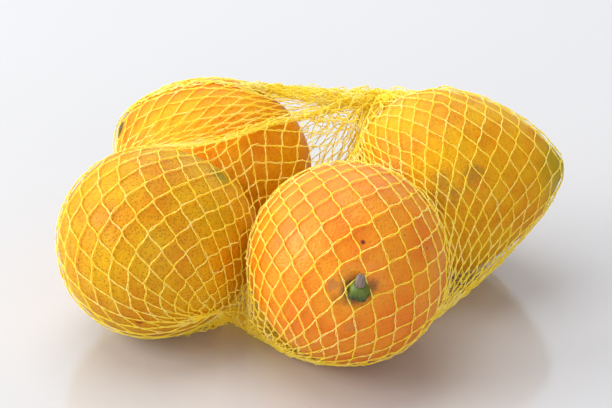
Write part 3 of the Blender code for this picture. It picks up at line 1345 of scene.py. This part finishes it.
@dataclass(frozen=True)
class Ruff:
    """Crumpled loops of cord, as where the net is gathered at one of its ends."""

    name: str
    centre: Point
    spread: Point  # how far the ruff reaches along each way
    loops: int
    loop_length: tuple[float, float]
    seed: int
    steps: int = 18
    scatter: float = 0.35  # of the loops' feet, as a share of the spread
    width: float = 0.35  # of a loop, as a share of its length
    crumple: float = 0.0004
    ply_gap: tuple[float, float] = (0.00034, 0.0001)  # between a loop's two plies, sideways and along
    out: Point = (0.12, 0.31, 0.94)

    def build(self, net: Net, material: bpy.types.Material) -> bpy.types.Object:
        """Makes the ruff.

        Args:
            net: The net, which keeps the loops clear of the fruit.
            material: The yarn's finish.

        Returns:
            The object.
        """
        draws = np.random.default_rng(self.seed)
        share = np.linspace(0, 1, self.steps)[:, None]
        spread = np.array(self.spread)
        paths = []
        for _ in range(self.loops):
            way, side = unit(draws.normal(size=(2, 3)))
            side = unit(side - (side @ way) * way)
            length = draws.uniform(*self.loop_length)
            start = np.array(self.centre) + draws.normal(0, self.scatter, 3) * spread
            path = start + length * np.sin(math.pi * share) * way * spread / spread.max()
            path = path + self.width * length * np.sin(FULL_TURN * share + draws.uniform(-0.5, 0.5)) * side
            wave = np.sin(3 * FULL_TURN * share + draws.uniform(0, 6))
            path = path + self.crumple * wave * np.cross(way, side)
            beside, along = self.ply_gap
            paths += [path, path + beside * side + along * np.sin(2 * FULL_TURN * share) * way]
        return net.lay(self.name, paths, np.array(self.out), material)


@dataclass(frozen=True)
class Fold:
    """The bunched net along a taut line: cells stretched lengthwise, in one layer inside another."""

    name: str
    line: tuple[Point, ...]
    drop: float = 0.0004  # how far the bundle's middle lies under the line
    depth: float = 0.0046  # half its reach from front to back
    height: float = 0.0016  # half its reach from top to bottom
    cell: float = 0.0052
    zigzag: float = 0.0007
    layers: tuple[tuple[int, float], ...] = ((26, 1.0), (16, 0.55))  # cords, and size
    wobble: float = 0.0006
    ply_offset: float = 0.00017
    ply_turns: int = 9
    steps: int = 52
    smoothings: int = 12
    seed: int = 13

    def middle_line(self) -> Array:
        """The bundle's middle.

        Returns:
            Evenly spaced points along the line, with its corners rounded.
        """
        corners = np.array(self.line)
        travelled = np.concatenate([[0], np.cumsum(np.linalg.norm(np.diff(corners, axis=0), axis=1))])
        places = np.linspace(0, travelled[-1], self.steps)
        points = np.stack([np.interp(places, travelled, corners[:, way]) for way in range(3)], axis=-1)
        for _ in range(self.smoothings):
            points[1:-1] = (points[:-2] + 2 * points[1:-1] + points[2:]) / 4
        return points - (0, 0, self.drop)

    def build(self, net: Net, material: bpy.types.Material) -> bpy.types.Object:
        """Makes the bundle.

        Args:
            net: The net, which keeps the cords clear of the fruit.
            material: The yarn's finish.

        Returns:
            The object.
        """
        draws = np.random.default_rng(self.seed)
        middle = self.middle_line()
        along = unit(np.gradient(middle, axis=0))
        side = unit(np.cross(along, (0, 0, 1)))
        up = np.cross(side, along)
        travelled = np.linspace(0, np.linalg.norm(np.diff(middle, axis=0), axis=1).sum(), self.steps)
        share = np.linspace(0, 1, self.steps)
        full = np.minimum(1, 0.12 + 3.2 * share * (1.25 - share))[:, None]
        paths = []
        for cords, size in self.layers:
            for number in range(cords):
                angle = FULL_TURN * (number + draws.uniform(-0.3, 0.3)) / cords
                turn = angle + 0.9 * np.sin(FULL_TURN * share + draws.uniform(-0.6, 0.6))
                wave = self.zigzag * np.sin(math.pi * travelled / self.cell * 2 + math.pi * number)
                out = self.depth * np.cos(turn)[:, None] * side + self.height * np.sin(turn)[:, None] * up
                slip = self.height * np.cos(turn)[:, None] * up - self.depth * np.sin(turn)[:, None] * side
                path = middle + size * full * out + wave[:, None] * unit(slip)
                path = path + net.wobble(path[None].shape, self.wobble, draws)[0]
                ply = self.ply_turns * turn + angle
                apart = self.ply_offset * (np.cos(ply)[:, None] * up + np.sin(ply)[:, None] * side)
                paths += [path + apart, path - apart]
        return net.lay(self.name, paths, up, material)


# ------------------------------------------------------------------------------
# The stage


# Each light's name, place, width and height, power in watts and colour.
LIGHTS = (
    ("window", (-0.30, 1.50, 0.80), (3.0, 1.4), 11.0, (0.96, 0.98, 1.0)),
    ("overhead", (-0.25, 0.40, 1.45), (1.4, 1.0), 14.0, (1.0, 0.99, 0.97)),
    ("side_window", (-1.25, -0.15, 0.65), (1.1, 0.9), 19.0, (1.0, 0.98, 0.93)),
    ("front_fill", (0.40, -1.35, 0.45), (1.4, 0.8), 7.2, (1.0, 0.96, 0.90)),
)


@dataclass(frozen=True)
class Studio:
    """A pale glossy table, soft light from a bright window behind, and the camera."""

    target: Vector = Vector((-0.0035, 0.0146, 0.030))
    distance: float = 0.667
    elevation: float = 24.6
    focal_length: float = 117.7
    table: float = 8.0  # its width
    table_tints: tuple[Colour, Colour] = ((0.545, 0.545, 0.56), (0.575, 0.575, 0.59))
    room: tuple[float, ...] = (0.90, 0.93, 1.0, 1.0)
    room_strength: float = 0.42

    def build(self) -> None:
        """Makes the table, the lights, the world and the camera."""
        self.make_table()
        self.make_world()
        for light in LIGHTS:
            self.make_light(*light)
        self.make_camera()

    def make_table(self) -> None:
        """The table: one large smooth white sheet."""
        points = self.table / 2 * np.array([[-1, -1, 0], [1, -1, 0], [1, 1, 0], [-1, 1, 0]])
        finish = Finish("white_table")
        tint = finish.graph.mix(finish.graph.noise(finish.place, 0.4), *self.table_tints)
        finish.set(Base_Color=tint, Roughness=0.14, Specular_IOR_Level=0.85)
        new_object("table", points, [[0, 1, 2, 3]], finish.material)

    def make_world(self) -> None:
        """A bright, slightly blue room."""
        world = bpy.data.worlds.new("room")
        world.use_nodes = True
        background = world.node_tree.nodes["Background"].inputs
        background["Color"].default_value = self.room
        background["Strength"].default_value = self.room_strength
        bpy.context.scene.world = world

    def make_light(
        self, name: str, place: Point, size: tuple[float, float], power: float, colour: Colour
    ) -> None:
        """A rectangular soft light that faces the fruit.

        Args:
            name: The light's name.
            place: Where it hangs.
            size: Its width and height.
            power: In watts.
            colour: Its colour.
        """
        light = bpy.data.lights.new(name, "AREA")
        light.shape = "RECTANGLE"
        light.size, light.size_y = size
        light.energy = power
        light.color = colour
        lamp = bpy.data.objects.new(name, light)
        bpy.context.scene.collection.objects.link(lamp)
        lamp.location = place
        lamp.rotation_euler = (Vector(place) - self.target).to_track_quat("Z", "Y").to_euler()

    def make_camera(self) -> None:
        """The camera, and colours shown as they are."""
        rise = math.radians(self.elevation)
        data = bpy.data.cameras.new("camera")
        data.lens = self.focal_length
        camera = bpy.data.objects.new("camera", data)
        bpy.context.scene.collection.objects.link(camera)
        away = Vector((0, -math.cos(rise), math.sin(rise)))
        camera.location = self.target + self.distance * away
        camera.rotation_euler = away.to_track_quat("Z", "Y").to_euler()
        bpy.context.scene.camera = camera
        bpy.context.scene.view_settings.view_transform = "Standard"


# ------------------------------------------------------------------------------
# The object

OLIVE, RUST, MAROON, GREY = (0.22, 0.22, 0.006), (0.36, 0.08, 0.004), (0.14, 0.015, 0.010), (0.20, 0.13, 0.10)
BROWN, TIP_GREEN = (0.26, 0.10, 0.02), (0.10, 0.11, 0.006)

LEMONS = (
    Lemon(
        "front_left", -0.0514, -0.0165, 30, -8, 0.0302, 0.0312, 0.0353, (1.9, 0.56), seed=1.0,
        peel=PeelFinish(
            yellow=(0.75, 0.41, 0.006), orange=(0.69, 0.27, 0.004), pore_colour=(0.31, 0.13, 0.003),
            pore_strength=0.75, pore_width=0.54, pore_spacing=0.00086,
            patches=(
                Patch((-0.0092, 0.0247, 0.0158), 0.0062, OLIVE, 0.75, 0.85),
                Patch((-0.0230, 0.0150, 0.0090), 0.0110, (0.46, 0.32, 0.006), 0.45, 0.8),
                Patch((-0.0211, -0.0173, -0.0144), 0.0016, RUST, 0.85),
            ),
        ),
    ),
    Lemon(
        "back_left", -0.0342, 0.0416, 157, 14, 0.0305, 0.0331, 0.0385, (1.75, 0.62), nipple=0.0006, seed=2.0,
        peel=PeelFinish(
            yellow=(0.86, 0.40, 0.005), orange=(0.80, 0.26, 0.003), tip_colour=TIP_GREEN, tip_reach=0.005,
            patches=(Patch((0.0090, 0.0040, 0.0350), 0.0045, (0.05, 0.05, 0.004), 0.9),),
        ),
    ),
    Lemon(
        "front_middle", 0.0095, -0.0332, 93, -14, 0.0310, 0.0359, 0.0390, (1.9, 0.58), seed=3.0,
        peel=PeelFinish(
            yellow=(0.86, 0.31, 0.010), orange=(0.82, 0.21, 0.005), pore_strength=0.4, shine=0.32,
            patches=(
                # Painted shade: a dark ring round the calyx, where the dent at the stem end lies in shade.
                Patch((-0.0001, -0.0009, -0.0350), 0.0062, (0.07, 0.03, 0.008), 0.85, 0.65, 0.2),
                Patch((0.0068, 0.0009, -0.0351), 0.0030, GREY, 0.35, 0.8, 0.6),
                Patch((0.0052, -0.0040, -0.0353), 0.0034, BROWN, 0.40, 0.8, 0.6),
                Patch((-0.0056, 0.0004, -0.0353), 0.0030, (0.12, 0.03, 0.01), 0.65, 0.9, 0.4),
                Patch((0.0006, -0.0120, -0.0334), 0.0034, (0.40, 0.16, 0.06), 0.30, 0.8, 0.6),
                Patch((-0.0023, 0.0131, -0.0327), 0.0011, MAROON, 0.95, 0.6),
                Patch((-0.0225, 0.0089, -0.0234), 0.0008, GREY, 0.8),
                Patch((-0.0230, 0.0048, -0.0244), 0.0007, GREY, 0.8),
                Patch((-0.0152, 0.0139, -0.0275), 0.0006, GREY, 0.6),
            ),
        ),
    ),
    Lemon(
        "right", 0.0433, 0.0270, -3, 10, 0.0316, 0.0312, 0.0405, (1.6, 0.68), nipple=0.0004, seed=4.0,
        peel=PeelFinish(
            yellow=(0.80, 0.43, 0.006), orange=(0.73, 0.30, 0.004), tip_colour=(0.36, 0.31, 0.006),
            tip_reach=0.011,
            patches=(
                Patch((-0.0260, 0.0120, 0.0115), 0.0056, (0.26, 0.16, 0.03), 0.50, 0.9, 0.7),
                Patch((-0.0290, 0.0120, 0.0010), 0.0052, (0.28, 0.16, 0.03), 0.45, 0.9, 0.7),
                Patch((-0.0299, 0.0081, 0.0044), 0.0044, (0.32, 0.18, 0.03), 0.40, 0.9, 0.7),
                Patch((-0.0308, 0.0061, -0.0034), 0.0060, (0.34, 0.15, 0.01), 0.5),
            ),
        ),
    ),
)
STEM_FRUIT = 2  # which of them shows its stem
STEM_SHIFT = np.array((0.0007, 0.0002, -0.0015))  # the calyx sits a little below the middle of the stem end

GATHER, PINCH = (0.0186, 0.0567, 0.0504), (-0.0294, -0.0182, 0.0056)
BUNDLES = (
    Fold("net_back_fold", FOLD_LINE),
    Fold("net_top_band", BAND_LINE, depth=0.0060, height=0.0006, layers=((16, 1.0),), seed=15),
    Ruff("net_back_gather", GATHER, (0.012, 0.006, 0.0013), 130, (0.004, 0.011), 11),
    Ruff("net_pocket", (0.005, 0.040, 0.0505), (0.012, 0.011, 0.0035), 24, (0.005, 0.012), 14),
    Ruff("net_front_pinch", PINCH, (0.004, 0.003, 0.002), 26, (0.002, 0.005), 12),
)


def main() -> None:
    """Builds the fruit, the stem, the net and the stage, in that order."""
    logging.basicConfig(level=logging.INFO, format="%(name)s %(message)s")
    effects = Effects()
    for lemon in LEMONS:
        lemon.build(effects)
    stem = Stem(foot=LEMONS[STEM_FRUIT].stem_end + STEM_SHIFT)
    stem.build(effects)
    yarn = YarnFinish().make("yellow_yarn", effects)
    net = Net(LEMONS, stem)
    net.build(yarn)
    for bundle in BUNDLES:
        bundle.build(net, yarn)
    Studio().build()


if __name__ == "__main__":
    main()
